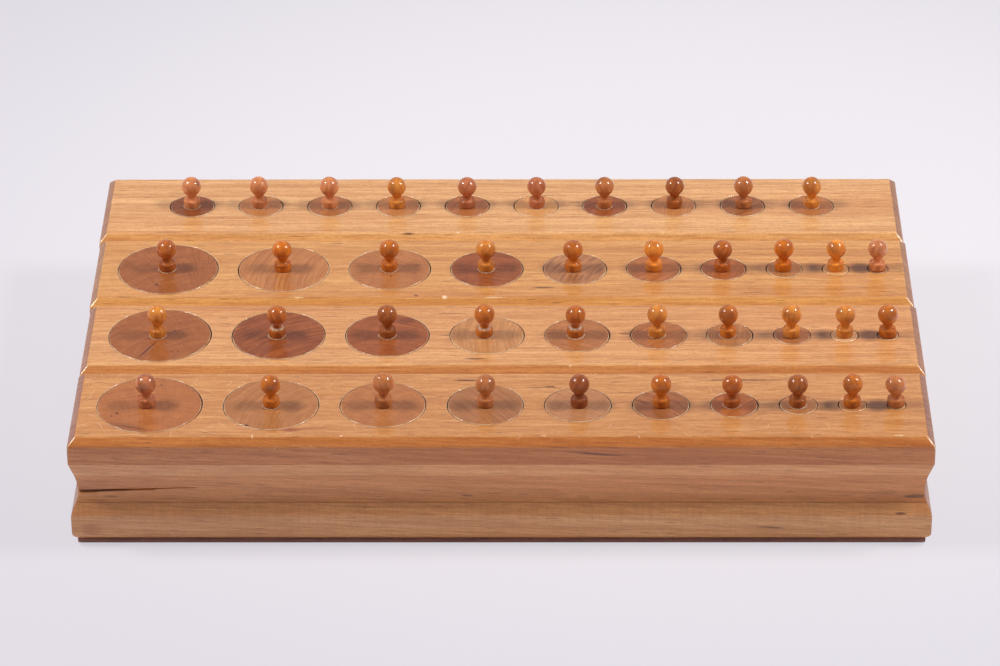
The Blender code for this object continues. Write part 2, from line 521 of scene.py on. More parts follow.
# %% [markdown]
# The front and the back side of each cell come from the ring round the deck. Only the lines between
# two cells are new. Each hole goes down to its own floor: cylinders that knock against its mouth have
# eased it, with a chip here and there, and the wall is straight.

# %% The deck and its holes
hole_strip = 0.0009
mouth_ease, mouth_chip, mouth_scale, mouth_start = 0.00018, 0.0003, 260, 0.2
below_mouth = 0.0022


def cells_of(skin, deck, low, high, cell_edges):
    """Yields the ring of points round each cell of the deck, from the left."""
    along = side_steps * holes_in_row
    back_left = 2 * along + side_steps
    front, back = low.y + top_chamfer + edge_strip, high.y - top_chamfer - edge_strip
    left_line = [deck[0]] + deck[:back_left:-1] + [deck[back_left]]
    for cell in range(holes_in_row):
        start, back_start = cell * side_steps, back_left - (cell + 1) * side_steps
        if cell < holes_in_row - 1:
            inner = [(cell_edges[cell], front + (back - front) * step / side_steps, deck_height)
                     for step in range(1, side_steps)]
            right_line = [deck[start + side_steps]] + skin.ring(inner) + [deck[back_start]]
        else:
            right_line = deck[along:along + side_steps + 1]
        yield (deck[start:start + side_steps] + right_line[:-1]
               + deck[back_start:back_start + side_steps] + left_line[:0:-1])
        left_line = right_line


def add_hole(skin, hole, upper):
    """Fills a cell, given as the ring upper, with the mouth, the wall and the floor of its hole."""
    radius, count = hole["radius"] + side_clearance, len(upper)
    levels = [(radius + hole_strip, deck_height, 0, 0), (radius, deck_height, 1, 1),
              (radius, deck_height, 1, 0.5), (radius, deck_height, 1, 0),
              (radius, deck_height - below_mouth, 0, 0), (radius, hole["bottom"] - floor_clearance, 0, 0)]
    for reach, height, worn, ease in levels:
        ring = []
        for step in range(count):
            angle = math.tau * step / count - math.radians(135)
            x, y = math.cos(angle), math.sin(angle)
            edge = (hole["x"] + radius * x, hole["y"] + radius * y, deck_height)
            eased = worn * (mouth_ease + mouth_chip * chipping(edge, mouth_scale, mouth_start))
            out = reach + eased * ease
            ring.append((hole["x"] + out * x, hole["y"] + out * y, height - eased * (1 - ease)))
        lower = skin.ring(ring, worn)
        skin.join(upper, lower)
        upper = lower
    skin.faces.append(upper)


# %% Build the blocks
def build_block(row):
    low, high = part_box(row + "_block")
    holes = rows[row]
    cell_edges = []
    for left, right in zip(holes, holes[1:]):
        cell_edges.append((left["x"] + left["radius"] + right["x"] - right["radius"]) / 2)
    skin = Skin()
    deck = add_sides(skin, low, high, cell_edges)
    for hole, cell in zip(holes, cells_of(skin, deck, low, high, cell_edges)):
        add_hole(skin, hole, cell)
    block = mesh_piece(row + "_block_wood", skin.corners, skin.faces, wear=skin.wear)
    face_outward(block)
    print(block.name, len(block.data.polygons), "faces")
    return block


blocks = {row: build_block(row) for row in row_names}

# %% [markdown]
# The front block has one real flaw: an open crack in the end of the wood, widest at the left end and
# closing after about sixty millimetres. A thin wedge is subtracted with the Boolean modifier, and the
# result is kept as the block's new mesh. Each point of the crack is its place along the block, its
# height above the ground and half its width.

# %% The crack in the front block
crack_line = [(-0.2240, 0.0308, 0.0008), (-0.2120, 0.0311, 0.0007), (-0.1990, 0.0316, 0.0006),
              (-0.1870, 0.0320, 0.0004), (-0.1740, 0.0326, 0.00022), (-0.1580, 0.0333, 0.00002)]
crack_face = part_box("front_block")[0].y + 0.0037
crack_depth = 0.0026
shallowest_share = 0.35
before_face = 0.004


def open_crack(block):
    skin = Skin()
    rings = []
    front, widest = crack_face - before_face, crack_line[0][2]
    for x, z, half in crack_line:
        back = crack_face + crack_depth * (shallowest_share + (1 - shallowest_share) * half / widest)
        rings.append(skin.ring([(x, front, z - half), (x, front, z + half),
                                (x, back, z + half), (x, back, z - half)]))
    skin.join(*rings)
    skin.faces += [rings[0], rings[-1]]
    wedge = mesh_piece("crack_wedge", skin.corners, skin.faces)
    face_outward(wedge)
    cut = block.modifiers.new("crack", "BOOLEAN")
    cut.solver = "EXACT"
    cut.operation = "DIFFERENCE"
    cut.object = wedge
    cracked = block.evaluated_get(bpy.context.evaluated_depsgraph_get())
    block.data = bpy.data.meshes.new_from_object(cracked)
    block.modifiers.clear()
    bpy.data.objects.remove(wedge)


open_crack(blocks["front"])
print("front block after the crack:", len(blocks["front"].data.polygons), "faces")

# %% [markdown]
# Each block is glued on a thin board of dark pressed fibre, a little smaller than the block, so that
# only a dark line shows under it. The same outline serves again: four rings, with the sawn edge just
# broken, and a flat face above and below.

# %% The board under a block
board_break = 0.0003


def build_board(row):
    low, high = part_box(row + "_base")
    levels = [(board_break, foot_height), (0, high.z), (0, low.z + board_break), (board_break, low.z)]
    skin = Skin()
    rings = []
    for inset, height in levels:
        ring = outline(low, high, tenths(low, high), inset)
        rings.append(skin.ring([(*point[:2], height) for point in ring]))
    skin.join(*rings)
    skin.faces += [rings[0], rings[-1][::-1]]
    return mesh_piece(row + "_base_board", skin.corners, skin.faces)


boards = {row: build_board(row) for row in row_names}

# %% [markdown]
# ## Turned pieces
# Cylinders and knobs come off a lathe, and they are made the same way here: half of the outline is
# drawn, and it is turned round an upright axis. `turn` takes the outline from the bottom to the top.
# Each point also says how worn the wood is there.

# %% A lathe
def turn(name, outline_points, sides, place, lean=(0, 0)):
    """A turned piece from (radius, height, wear) points. A first or last radius of 0 closes that end."""
    skin = Skin()
    rings = []
    for radius, height, worn in outline_points:
        ring = []
        for step in range(1 if radius == 0 else sides):
            angle = math.tau * step / sides
            ring.append((radius * math.cos(angle) + lean[0] * height,
                         radius * math.sin(angle) + lean[1] * height, height))
        rings.append(skin.ring(ring, worn))
    for lower, upper in zip(rings, rings[1:]):
        for step in range(sides):
            after = (step + 1) % sides
            if len(lower) == 1:
                skin.faces.append((lower[0], upper[after], upper[step]))
            elif len(upper) == 1:
                skin.faces.append((lower[step], lower[after], upper[0]))
            else:
                skin.faces.append((lower[step], lower[after], upper[after], upper[step]))
    return mesh_piece(name, skin.corners, skin.faces, place, skin.wear)


# %% [markdown]
# ## The cylinders
# A cylinder is a plain turned billet with its edges just broken. It stands a little loose in its hole,
# so the dark gap round it is wider on one side, and on which side depends on how it was dropped in.
# The table gives how far each lies to the right in its hole, in millimetres. In the photograph the gap
# is a little narrower than in the working model, so each is made a tenth of a millimetre larger.
#
# The knob's tenon sits in a blind socket in the middle of the top. A ring of points close round the
# socket keeps the top flat to its edge. Without it the smooth shading would bend the whole top, and the
# lacquer would mirror the lamps in the wrong place.

# %% Build the cylinders
snug = 0.0001
socket_radius = 0.0028
socket_depth = 0.007
round_socket = 0.0003
# The broken edges, as how far in from the wall, how far from the end, and how worn
foot_edge = ((0.0006, 0, 0), (0.0002, 0.0002, 0.5), (0, 0.0006, 0.3), (0, 0.003, 0))
top_edge = ((0, 0.003, 0), (0, 0.0006, 0.7), (0.0001, 0.0003, 1), (0.00025, 0.00008, 1), (0.0006, 0, 0.5),
            (0.0016, 0, 0))
few_sides, many_sides, large_radius = 64, 96, 0.015
lie = {
    "front": (-0.19, -0.05, -0.05, 0.1, -0.05, 0.05, -0.15, 0.18, 0.18, -0.05),
    "second": (-0.15, 0.05, -0.1, -0.1, -0.19, 0.1, -0.15, 0.15, -0.1, 0.1),
    "third": (-0.1, 0.1, -0.15, -0.1, -0.05, -0.1, -0.1, 0.15, 0.1, 0.1),
    "back": (0.1, -0.1, 0.1, -0.1, 0.05, 0.1, -0.15, 0.1, -0.05, 0.1),
}


def build_cylinder(row, number):
    hole = rows[row][number - 1]
    radius, foot = hole["radius"] + snug, hole["bottom"] - deck_height
    side = [(0, foot, 0)] + [(radius - inward, foot + up, worn) for inward, up, worn in foot_edge]
    side += [(radius - inward, -under, worn) for inward, under, worn in top_edge]
    if side[-1][0] <= socket_radius:
        side.pop()
    socket = [(socket_radius + round_socket, 0, 0), (socket_radius, 0, 0),
              (socket_radius, -socket_depth, 0), (0, -socket_depth, 0)]
    place = (hole["x"] + 0.001 * lie[row][number - 1], hole["y"], deck_height)
    sides = many_sides if radius > large_radius else few_sides
    return turn(f"{row}_cylinder_{number}_wood", side + socket, sides, place)


cylinders = {(row, number): build_cylinder(row, number) for row in row_names for number in hole_numbers}
print(len(cylinders), "cylinders")

# %% [markdown]
# ## The knobs
# Each knob is turned in one piece: a ball that runs down like a pear into a thin neck, a little dished
# collar with a rounded rim, and a tenon below it that is glued into the cylinder. The outline is drawn
# as a few points, and the smooth curve comes from a spline through them.

# %% The outline of a knob
tenon_radius = 0.0025
tenon_length = 0.0066
knob_points = [(4.1, 0.0), (4.4, 0.3), (4.51, 0.9), (4.54, 2.2), (4.52, 3.4), (4.42, 4.1), (4.15, 4.5),
               (3.75, 4.58), (3.3, 4.45), (2.85, 4.6), (2.52, 5.2), (2.42, 5.9), (2.5, 6.7), (2.86, 7.5),
               (3.66, 8.5), (4.52, 9.6), (5.12, 10.9), (5.34, 12.35), (5.16, 13.8), (4.57, 15.2),
               (3.6, 16.35), (2.4, 17.2), (1.2, 17.6), (0.0, 17.72)]


def spline(points, steps=3):
    """A smooth line through points (a Catmull-Rom spline)."""
    padded = [points[0]] + points + [points[-1]]
    smooth = []
    for p0, p1, p2, p3 in zip(padded, padded[1:], padded[2:], padded[3:]):
        for step in range(steps):
            t = step / steps
            smooth.append(tuple(
                0.5 * (2 * b + (c - a) * t + (2 * a - 5 * b + 4 * c - d) * t * t
                       + (3 * b - a - 3 * c + d) * t ** 3)
                for a, b, c, d in zip(p0, p1, p2, p3)))
    return smooth + [points[-1]]


knob_line = spline(knob_points)
print("a knob's outline has", len(knob_line), "points")

# %% [markdown]
# No two knobs are quite alike. Each one stands where it was glued, a little off the middle, leans by a
# degree or so, and differs slightly in width and height. The two tables are in millimetres.

# %% Build the knobs
knob_shift = {
    "front": (-1.5, 0.2, 0.25, -0.05, 0.65, 0.1, -1.3, -0.35, -0.25, -0.45),
    "second": (-1.15, -0.7, 0.1, -1.5, -1.1, -0.75, -1.05, -0.3, -0.1, -0.4),
    "third": (-0.45, -0.4, -0.3, -0.4, -1.05, 0.05, -0.7, -0.65, 0.05, -0.4),
    "back": (-0.15, -0.7, 0.2, -0.8, 0, 0.55, -0.2, 0.4, 0.6, 0.2),
}
knob_taller = {
    "front": (0, -0.15, 1.0, -0.6, -0.3, -0.15, -0.45, -0.45, 0, -0.6),
    "second": (-0.15, -0.3, 0, 0, -0.45, 0, 0, 0.3, 0, 0),
    "third": (-0.15, -0.6, -0.3, -0.15, -0.45, -0.45, -0.6, 0, -0.15, 0),
    "back": (-0.15, 0, 0.3, -0.3, -0.45, -0.3, -0.15, -0.3, 0, 0),
}
knob_lean = {("front", 10): -0.06}
unlike = 0.02
above_deck = 0.0001
to_and_fro = 0.0002
tenon_break_in, tenon_break_up = 0.0003, 0.0004
small_cylinder, small_shift = 0.0055, 0.0003
knob_sides = 48


def unsteady(row, number, which):
    """A number from -1 to 1 that is always the same for one knob, and differs from knob to knob."""
    seed = row_names.index(row) * 17.3 + number * 3.7 + which * 9.1
    return max(-1, min(1, 2.2 * noise.noise(Vector((seed, 0.4 * seed, 1.7 * which)))))


def build_knob(row, number):
    hole = rows[row][number - 1]
    wider = 0.001 * (1 + unlike * unsteady(row, number, 1))
    taller = 0.001 * (1 + knob_taller[row][number - 1] / knob_points[-1][1])
    line = [(0, -tenon_length, 0), (tenon_radius - tenon_break_in, -tenon_length, 0),
            (tenon_radius, -tenon_length + tenon_break_up, 0), (tenon_radius, 0, 0)]
    line += [(radius * wider, height * taller, 0) for radius, height in knob_line]
    lean = (knob_lean.get((row, number), unlike * unsteady(row, number, 2)),
            unlike * unsteady(row, number, 3))
    shift = 0.001 * knob_shift[row][number - 1]
    if hole["radius"] < small_cylinder:
        shift = min(small_shift, max(-small_shift, shift))
    back = to_and_fro * unsteady(row, number, 4)
    place = (hole["x"] + shift, hole["y"] + back, deck_height + above_deck)
    return turn(f"{row}_knob_{number}_wood", line, knob_sides, place, lean)


knobs = {(row, number): build_knob(row, number) for row in row_names for number in hole_numbers}
print(len(knobs), "knobs")

# %% [markdown]
# Where a little too much glue was used, it came out under the collar and dried as a thin pale ring. It
# is a flat turned ring of its own, and its outer edge wanders, because glue doesn't spread evenly.
# Three knobs of the second row also have some glue on top of the collar, round the neck.

# %% Build the rings of dried glue
glue_amount = {
    "front": (0, 0.6, 0, 0, 0, 0, 0.3, 0.1, 0, 0),
    "second": (0.4, 0.8, 0.5, 0.2, 0.6, 0.2, 0.1, 0, 0, 0),
    "third": (0.7, 0, 0.6, 0.3, 0, 0, 0, 0, 0, 0),
    "back": (0.5, 0.4, 0.2, 0, 0, 0.1, 0.2, 0, 0, 0.1),
}
neck_glue = (("second", 2), ("second", 4), ("second", 5))
neck_glue_line = ((0.0023, 0.0043), (0.0037, 0.0044), (0.0038, 0.0047), (0.0032, 0.0049), (0.0028, 0.0052),
                  (0.0023, 0.0054), (0.0023, 0.0043))
collar_foot = 0.0044
glue_sides = 64
glue_low, glue_rise, glue_lip = 0.00002, 0.00015, 0.00012
glue_inner, glue_crest = collar_foot - 0.0006, collar_foot - 0.0004
glue_least, glue_more = 0.00025, 0.00045
glue_waver, glue_waver_scale = 1.1, 110
crumb_height, crumb_scale = 0.0003, 400


def build_glue(row, number, amount):
    """A ring that comes out further where amount is larger."""
    outer = collar_foot + glue_least + glue_more * amount
    line = [(glue_inner, glue_low, 0), (outer, glue_low, 0), (outer - glue_lip, 0.4 * glue_rise, 0),
            (0.5 * (outer + collar_foot), glue_rise, 0), (glue_crest, 1.6 * glue_rise, 0),
            (glue_inner, glue_low, 0)]
    place = (*knobs[row, number].location.xy, deck_height)
    glue = turn(f"{row}_glue_{number}", line, glue_sides, place)
    for corner in glue.data.vertices:
        x, y = glue_waver_scale * corner.co.xy
        beyond = max(0, corner.co.xy.length / collar_foot - 1)
        corner.co.xy *= 1 + beyond * glue_waver * noise.noise(Vector((x, y, 7.3 * number)))
    return glue


def build_neck_glue(row, number):
    """A crumb-edged ring of glue in the dish of the collar, round the neck."""
    line = [(radius, height, 0) for radius, height in neck_glue_line]
    glue = turn(f"{row}_neck_glue_{number}", line, knob_sides, knobs[row, number].location)
    for corner in glue.data.vertices:
        x, y = crumb_scale * corner.co.xy
        corner.co.z += crumb_height * noise.noise(Vector((x, y, 5.1 * number)))
    return glue


glues = {}
for row in row_names:
    for number, amount in enumerate(glue_amount[row], 1):
        if amount > 0:
            glues[row, number] = [build_glue(row, number, amount)]
for row, number in neck_glue:
    glues[row, number].append(build_neck_glue(row, number))
print(sum(len(rings) for rings in glues.values()), "rings of glue")

# %% [markdown]
# ## Wood
# A plank is a slice of a tree, and its grain is the same in the whole slice, so it is best made as a
# solid pattern: the colour is worked out from the place in space, and the faces simply show it.
#
# Every finish starts from that place. These helpers take it apart and put it together, turn it and
# stretch it. `grainy` gives smooth random numbers for it, and `bumps` makes them felt in the light.

# %% Helpers for patterns
def new_finish(name):
    """A new material, its shader, and the place in space that every pattern starts from."""
    material = bpy.data.materials.new(name)
    open_tree(material)
    return material, tree.nodes["Principled BSDF"], add("TexCoord").outputs["Object"]


def split(place):
    """The three numbers of a place or a direction, called X, Y and Z."""
    return add("SeparateXYZ", {0: place}).outputs


def joined(x=0, y=0, z=0):
    """A place made of three numbers."""
    return add("CombineXYZ", {0: x, 1: y, 2: z}).outputs[0]


def swung(place, angle, axis):
    """The place turned round an axis."""
    return add("VectorRotate", {"Vector": place, "Angle": angle}, rotation_type=axis + "_AXIS").outputs[0]


def sized(place, scale, shift=(0, 0, 0)):
    """The place in other units: scale is how many units a metre has in each direction."""
    return add("Mapping", {"Vector": place, "Location": shift, "Scale": scale}).outputs[0]


def grainy(place, detail=2, roughness=0.55, distortion=0):
    """Smooth random numbers, mostly from 0.3 to 0.7."""
    inputs = {"Vector": place, "Scale": 1, "Detail": detail, "Roughness": roughness}
    return add("TexNoise", {**inputs, "Distortion": distortion}).outputs[0]


def bumps(pattern, strength, tallest):
    """Small bumps that follow a pattern. tallest is in metres."""
    return add("Bump", {"Height": pattern, "Strength": strength, "Distance": tallest}).outputs[0]


# %% [markdown]
# All noise is stretched along the grain. Broad bands, fine streaks and pores differ only in how far they
# are stretched and how strongly they are kept, so they are written as tables. One table lists noises:
# the space that each follows, its units in a metre, how the seed shifts it, its detail and roughness.
# Another lists tints: the noise that each follows, where it begins, where it is full, how strong it is
# there, and its colour.

# %% Noises and tints from tables
def noises_of(spaces, table, seed):
    """Every noise of a table by its name. spaces holds the places that the noises follow."""
    noises = {}
    for name, (space, units, shifts, detail, roughness) in table.items():
        place = sized(spaces[space], units, [seed * shift for shift in shifts])
        noises[name] = grainy(place, detail, roughness)
    return noises


def tinted(mix, noises, tints):
    """The colour with every tint laid over it in turn."""
    for name, begins, full, strength, tint in tints:
        mix = mixed(spread(noises[name], begins, full, 0, strength), mix, tint)
    return mix


# %% [markdown]
# For the blocks the tree lies along X. The growth rings are shells round a pith that is somewhere outside
# the block, so the first number needed is the distance from that pith, measured across the grain. No
# tree is quite straight, so the place first wanders a few millimetres with a slow noise.

# %% Growth rings of a board
ring_wander = (0, 0.011, 0.011)
ring_wander_scale = (5, 9, 9)


def wavy(place, scale, shift, reach, middle):
    """The place moved by a slow noise. reach is how far each way, and middle is taken off the noise."""
    slow = add("TexNoise", {"Vector": sized(place, scale, shift), "Scale": 1, "Detail": 1}).outputs["Color"]
    slow = add("VectorMath", {0: slow, 1: (middle,) * 3}, operation="SUBTRACT").outputs[0]
    return add("VectorMath", {0: slow, 1: reach, 2: place}, operation="MULTIPLY_ADD").outputs[0]


def distance(first, second):
    """How far a place is from the pith, from its two distances across the grain."""
    return add("VectorMath", {0: joined(first, second)}, operation="LENGTH").outputs["Value"]


def ring_place(place, pith, seed):
    """(along the grain, distance from the pith, round the pith) for a tree that lies along X."""
    x, y, z = split(wavy(place, ring_wander_scale, (seed, seed, 0), ring_wander, 0.5))
    y, z = sum_up("SUBTRACT", y, pith[0]), sum_up("SUBTRACT", z, pith[1])
    return joined(x, distance(y, z), sum_up("ARCTAN2", z, y))


# %% [markdown]
# Marks at known places, such as a dark streak or a small knot, are drawn as soft ellipses. A Mapping
# node moves and stretches the space so that the mark becomes a unit ball, and a spherical Gradient
# gives 1 at its middle and 0 at its edge. A little noise makes its outline ragged.

# %% Marks at known places
def marks(place, spots, ragged):
    """How strong the marks are at each place. A spot is (centre, half sizes, (dip, swing), strength).

    dip turns a mark on the front about Y, and swing turns a mark on the top about Z, both in degrees.
    """
    strongest = 0
    for centre, half_sizes, (dip, swing), strength in spots:
        rotation = (0, math.radians(dip), math.radians(swing))
        inputs = {"Vector": place, "Location": centre, "Scale": half_sizes, "Rotation": rotation}
        inside = add("Mapping", inputs, vector_type="TEXTURE").outputs[0]
        ball = add("TexGradient", {"Vector": inside}, gradient_type="SPHERICAL").outputs[1]
        strongest = most(strongest, spread(times(ball, ragged), 0.02, 0.55, 0, strength))
    return strongest


# %% [markdown]
# A fingernail or a knob that slips leaves a short, slightly bent line. A Voronoi texture cuts the deck
# into random cells and gives each cell its own middle and its own random colour. The colour decides
# whether the cell has a scratch at all and which way it runs.

# %% Scratches
def nail_marks(place, cell, half_length, half_width, kept, bend):
    """Thin pale scratches. cell is the size of a cell, and kept is the share of cells with a scratch."""
    flat = sized(place, (1 / cell, 1 / cell, 0))
    inputs = {"Vector": flat, "Scale": 1, "Randomness": 1}
    cells = add("TexVoronoi", inputs, voronoi_dimensions="2D").outputs
    from_middle = add("VectorMath", {0: flat, 1: cells["Position"]}, operation="SUBTRACT").outputs[0]
    dice = add("SeparateColor", {0: cells["Color"]}).outputs
    parts = split(swung(from_middle, times(dice[0], math.tau), "Z"))
    curve = times(parts["X"], parts["X"], bend)
    off_line = sum_up("ABSOLUTE", sum_up("ADD", parts["Y"], curve))
    off_middle = sum_up("ABSOLUTE", parts["X"])
    thin = spread(off_line, half_width / cell * 0.5, half_width / cell * 1.5, 1, 0)
    short = spread(off_middle, half_length / cell * 0.6, half_length / cell, 1, 0)
    return times(thin, short, spread(dice[1], 1 - kept, 1 - kept + 0.02))


# %% [markdown]
# Short dark flecks lie along the grain: fibres that were torn and filled with stain. They are made like
# the scratches, in cells that are long and thin. Noise makes their ends ragged, and every fleck has its
# own strength.

# %% Flecks along the grain
def flecks(place, cell, seed, kept, ragged):
    """Short dark marks. cell is the size of a cell, and kept is the share of cells with a mark."""
    units = sized(place, [1 / side for side in cell], (seed, seed, seed))
    cells = add("TexVoronoi", {"Vector": units, "Scale": 1, "Randomness": 1}).outputs
    dice = add("SeparateColor", {0: cells["Color"]}).outputs
    strong = times(spread(dice[0], 1 - kept, 1 - 0.7 * kept), spread(dice[1], 0, 1, 0.3, 1, "LINEAR"))
    off_middle = sum_up("ADD", cells["Distance"], spread(ragged, 0.3, 0.7, -0.1, 0.1))
    return times(spread(off_middle, 0.10, 0.26, 1, 0), strong)


# %% [markdown]
# The finish of a block is made of layers, and each layer is one function. It takes the colour so far and
# gives back the next one. What differs from block to block stands in a table of looks further on.
#
# The first layer is the planed wood, golden tan. Some of its noises follow the growth rings, and some
# only the length of the board. The fine ones are stronger on some blocks than on others.

# %% The planed wood
dark_streak = (0.11, 0.036, 0.016)
block_noises = {
    "bands": ("rings", (2.2, 170, 2), (1, 0, 0), 3, 0.6),
    "broad": ("rings", (1.5, 32, 6), (0, 1, 0), 1, 0.55),
    "lines": ("rings", (8, 560, 150), (1, 0, 1), 3, 0.68),
    "strands": ("board", (16, 430, 640), (1, 1, 0), 3, 0.66),
    "fibres": ("board", (85, 900, 1500), (0, 0, 1), 3, 0.7),
    "pores": ("board", (520, 820, 1300), (1, 0, 1), 2, 0.7),
}
broad_tints = (
    ("bands", 0.36, 0.68, 0.60, (0.48, 0.18, 0.052)),
    ("broad", 0.35, 0.65, 0.35, (0.60, 0.225, 0.066)),
)
fine_tints = (
    ("lines", 0.48, 0.60, 0.30, (0.40, 0.140, 0.043)),
    ("strands", 0.49, 0.60, 0.30, (0.38, 0.130, 0.040)),
    ("fibres", 0.48, 0.60, 0.46, (0.36, 0.118, 0.034)),
    ("strands", 0.47, 0.36, 0.30, (0.78, 0.43, 0.19)),
)
pore_tint = ("pores", 0.42, 0.62, 0.20, (0.36, 0.125, 0.038))
long_fleck, short_fleck = (0.034, 0.0026, 0.0013), (0.015, 0.0020, 0.0010)
long_kept, short_kept = 0.18, 0.28
fleck_strength = 0.8


def planed_wood(noises, board, look):
    grain, seed, fibres = look["grain"], look["seed"], noises["fibres"]
    mix = tinted(look["light"], noises, broad_tints)
    mix = tinted(mix, noises, [(*where, strength * grain, tint) for *where, strength, tint in fine_tints])
    mix = tinted(mix, noises, [pore_tint])
    fleck = most(flecks(board, long_fleck, seed, long_kept, fibres),
                 flecks(board, short_fleck, seed + 5, short_kept, fibres))
    mix = mixed(times(fleck, fleck_strength * grain), mix, dark_streak)
    return mixed(1, mix, look["gain"], "MULTIPLY")


# %% [markdown]
# The second layer is painted light. The sloping chamfer and the upright sides are tinted apart from
# the deck, standing in for the light and sheen that fall on each of them differently. A face's normal,
# the direction in which it looks, tells which of them it is.
#
# Along the moulding run bands of painted light and shade. The paler, bluer bands stand in for the
# light and reflection that the bright floor throws on the cove and the low band, the less lifted cove
# low down for the shade it lies in, and thin dark lines for shade in the creases and in the gap above
# the board. The bands are given by their heights, as the front block shows them, and the other blocks
# have them a little fainter. Low down, the cutter left fine upright ripples, and toward the left end
# the sides are a little greyer.

# %% Painted light on the sides, ripples and a greyer left end
# Painted light: the upright sides and the chamfer are tinted apart from the deck by which way they face.
side_painted_light = (0.93, 0.75, 0.72)
# Bands of painted light and shade: bottom and top of each above the foot, its softness and its tint
painted_light_bands = [
    (0.0466, 0.0572, 0.0003, (1.02, 1.02, 1.00)),
    (0.0385, 0.0466, 0.0004, (1.19, 1.52, 1.82)),
    (0.0280, 0.0385, 0.0012, (1.06, 1.18, 1.20)),
    (0.0217, 0.0280, 0.0012, (1.04, 1.12, 0.98)),
    (0.0150, 0.0217, 0.0004, (1.18, 1.42, 1.45)),
    (0.0000, 0.0150, 0.0006, (1.17, 1.62, 2.02)),
    (0.0215, 0.0222, 0.0003, (0.72, 0.60, 0.52)),
    (0.0464, 0.0470, 0.0003, (0.86, 0.78, 0.72)),
    (-0.001, 0.0007, 0.0003, (0.50, 0.23, 0.17)),
]
ripple_tint, ripple_scale = (0.88, 0.85, 0.82), (720, 60, 45)
ripple_top, ripple_foot = (0.0235, 0.0205), (0.008, 0.014)
grey_tint, grey_part = (0.90, 0.91, 0.96), (0.05, -0.2)
print(len(painted_light_bands), "bands")


def sides_painted_light_and_ripples(mix, look, place, up):
    """Painted light and shade, with ripples, on all that isn't the deck. up is how far a face looks upward.
    """
    where = split(place)
    height = sum_up("SUBTRACT", where["Z"], foot_height)
    off_deck = spread(up, 0.78, 0.97, 1, 0)
    upright = spread(up, 0.48, 0.62, 1, 0)
    # Painted light: the chamfer and the upright sides get their own tints, by which way they face.
    mix = mixed(off_deck, mix, mixed(upright, look["slope_painted_light"], side_painted_light), "MULTIPLY")
    painted_light_share = times(upright, look["bands"])
    # Painted light and shade: paler bands for the floor's light and reflection, dark lines for shade in the
    # creases and above the board.
    for bottom, top, soft, tint in painted_light_bands:
        above = spread(height, bottom - soft, bottom + soft)
        below_top = spread(height, top - soft, top + soft, 1, 0)
        mix = mixed(times(above, below_top, painted_light_share), mix, tint, "MULTIPLY")
    ripple = grainy(sized(place, ripple_scale, (look["seed"], 0, 0)), 1)
    low_down = times(spread(height, *ripple_top), spread(height, *ripple_foot, 0.3, 1))
    mix = mixed(times(spread(ripple, 0.45, 0.6, 0, 0.45), low_down, upright), mix, ripple_tint, "MULTIPLY")
    return mixed(times(spread(where["X"], *grey_part), upright), mix, grey_tint, "MULTIPLY")


# %% [markdown]
# The third layer is the end grain. At the ends of a block the fibres are cut across. They soak up stain
# and lacquer, so the ends are darker and duller, with the growth rings as curved lines.

# %% Cut ends
end_tone, end_dark = (0.32, 0.135, 0.075), (0.22, 0.080, 0.042)
end_ring_scale, end_pore_scale = (0, 480, 4), (60, 1300, 1300)


def cut_ends(mix, look, place, ringed, cut_end):
    """cut_end is 1 on the two end faces and 0 elsewhere."""
    end_rings = grainy(sized(ringed, end_ring_scale, (0, look["seed"], 0)), 2, 0.6)
    end_pores = grainy(sized(place, end_pore_scale, (look["seed"], 0, 0)), 2, 0.6)
    end_grain = mixed(spread(end_rings, 0.42, 0.58), end_tone, end_dark)
    end_grain = mixed(spread(end_pores, 0.5, 0.66, 0, 0.4), end_grain, dark_streak)
    return mixed(times(cut_end, look["ends"]), mix, end_grain)


# %% [markdown]
# The last layer is wear. Where the lacquer is gone, the bare wood is pale and not shiny: in nicks along
# the long edges, in arcs round the holes, on the mitred corners, in scratches on the deck, and in a few
# chips at known places. The front block has been used most, and its left half has the most scratches.

# %% Bare wood where the lacquer is gone
bare_wood = (0.90, 0.68, 0.42)
chip_scale, arc_scale, patch_scale = (260, 260, 260), (60, 60, 60), (22, 30, 1)
nick_strength, mitre_strength, rim_strength, scratch_strength = 0.6, 0.45, 0.68, 0.6
busy_part = (-0.15, 0.02)
# Size of a cell, half length and half width of a scratch, share of cells with one, and its bend
short_scratch = (0.009, 0.0036, 0.00012, 0.55, 0.6)
long_scratch = (0.019, 0.0070, 0.00011, 0.35, -0.5)


def worn_places(look, place, up):
    """How far the lacquer is gone at each place, from 0 to 1."""
    seed = look["seed"]
    wear = add("Attribute", attribute_name="wear").outputs["Fac"]
    chips = grainy(sized(place, chip_scale, (seed, 0, 0)), 3, 0.6)
    arcs = grainy(sized(place, arc_scale, (0, seed, 0)), 3, 0.7)
    nicks = times(spread(wear, 0.5, 0.75), spread(chips, 0.68, 0.72))
    rim = times(spread(wear, 0.86, 0.98), spread(arcs, 0.42, 0.60, 0.42, 1))
    mitre = times(spread(wear, 1.15, 1.55), spread(chips, 0.28, 0.42))

    patches = grainy(sized(place, patch_scale, (seed, 3, 0)), 1)
    worn_area = spread(patches, 0.44, 0.62, 0, look["worn"])
    busy_end = spread(split(place)["X"], *busy_part, look["busy"], 0)
    scratch = most(nail_marks(place, *short_scratch), nail_marks(place, *long_scratch))
    scratch = times(scratch, spread(up, 0.9, 0.98), most(worn_area, busy_end))

    torn = spread(chips, 0.3, 0.65, 1.5, 0.3)
    return most(times(nicks, nick_strength), times(mitre, mitre_strength), times(rim, rim_strength),
                times(scratch, scratch_strength), marks(place, look["bare"], torn))


# %% [markdown]
# The finish of a block brings the layers together. The lacquer over them is a clear coat, which is its
# own layer in the Principled shader: sharp reflections over duller wood. The front board was not sawn
# quite along the grain, so its grain dips a little to the right.

# %% Finish of a block
red_streak = (0.30, 0.062, 0.024)


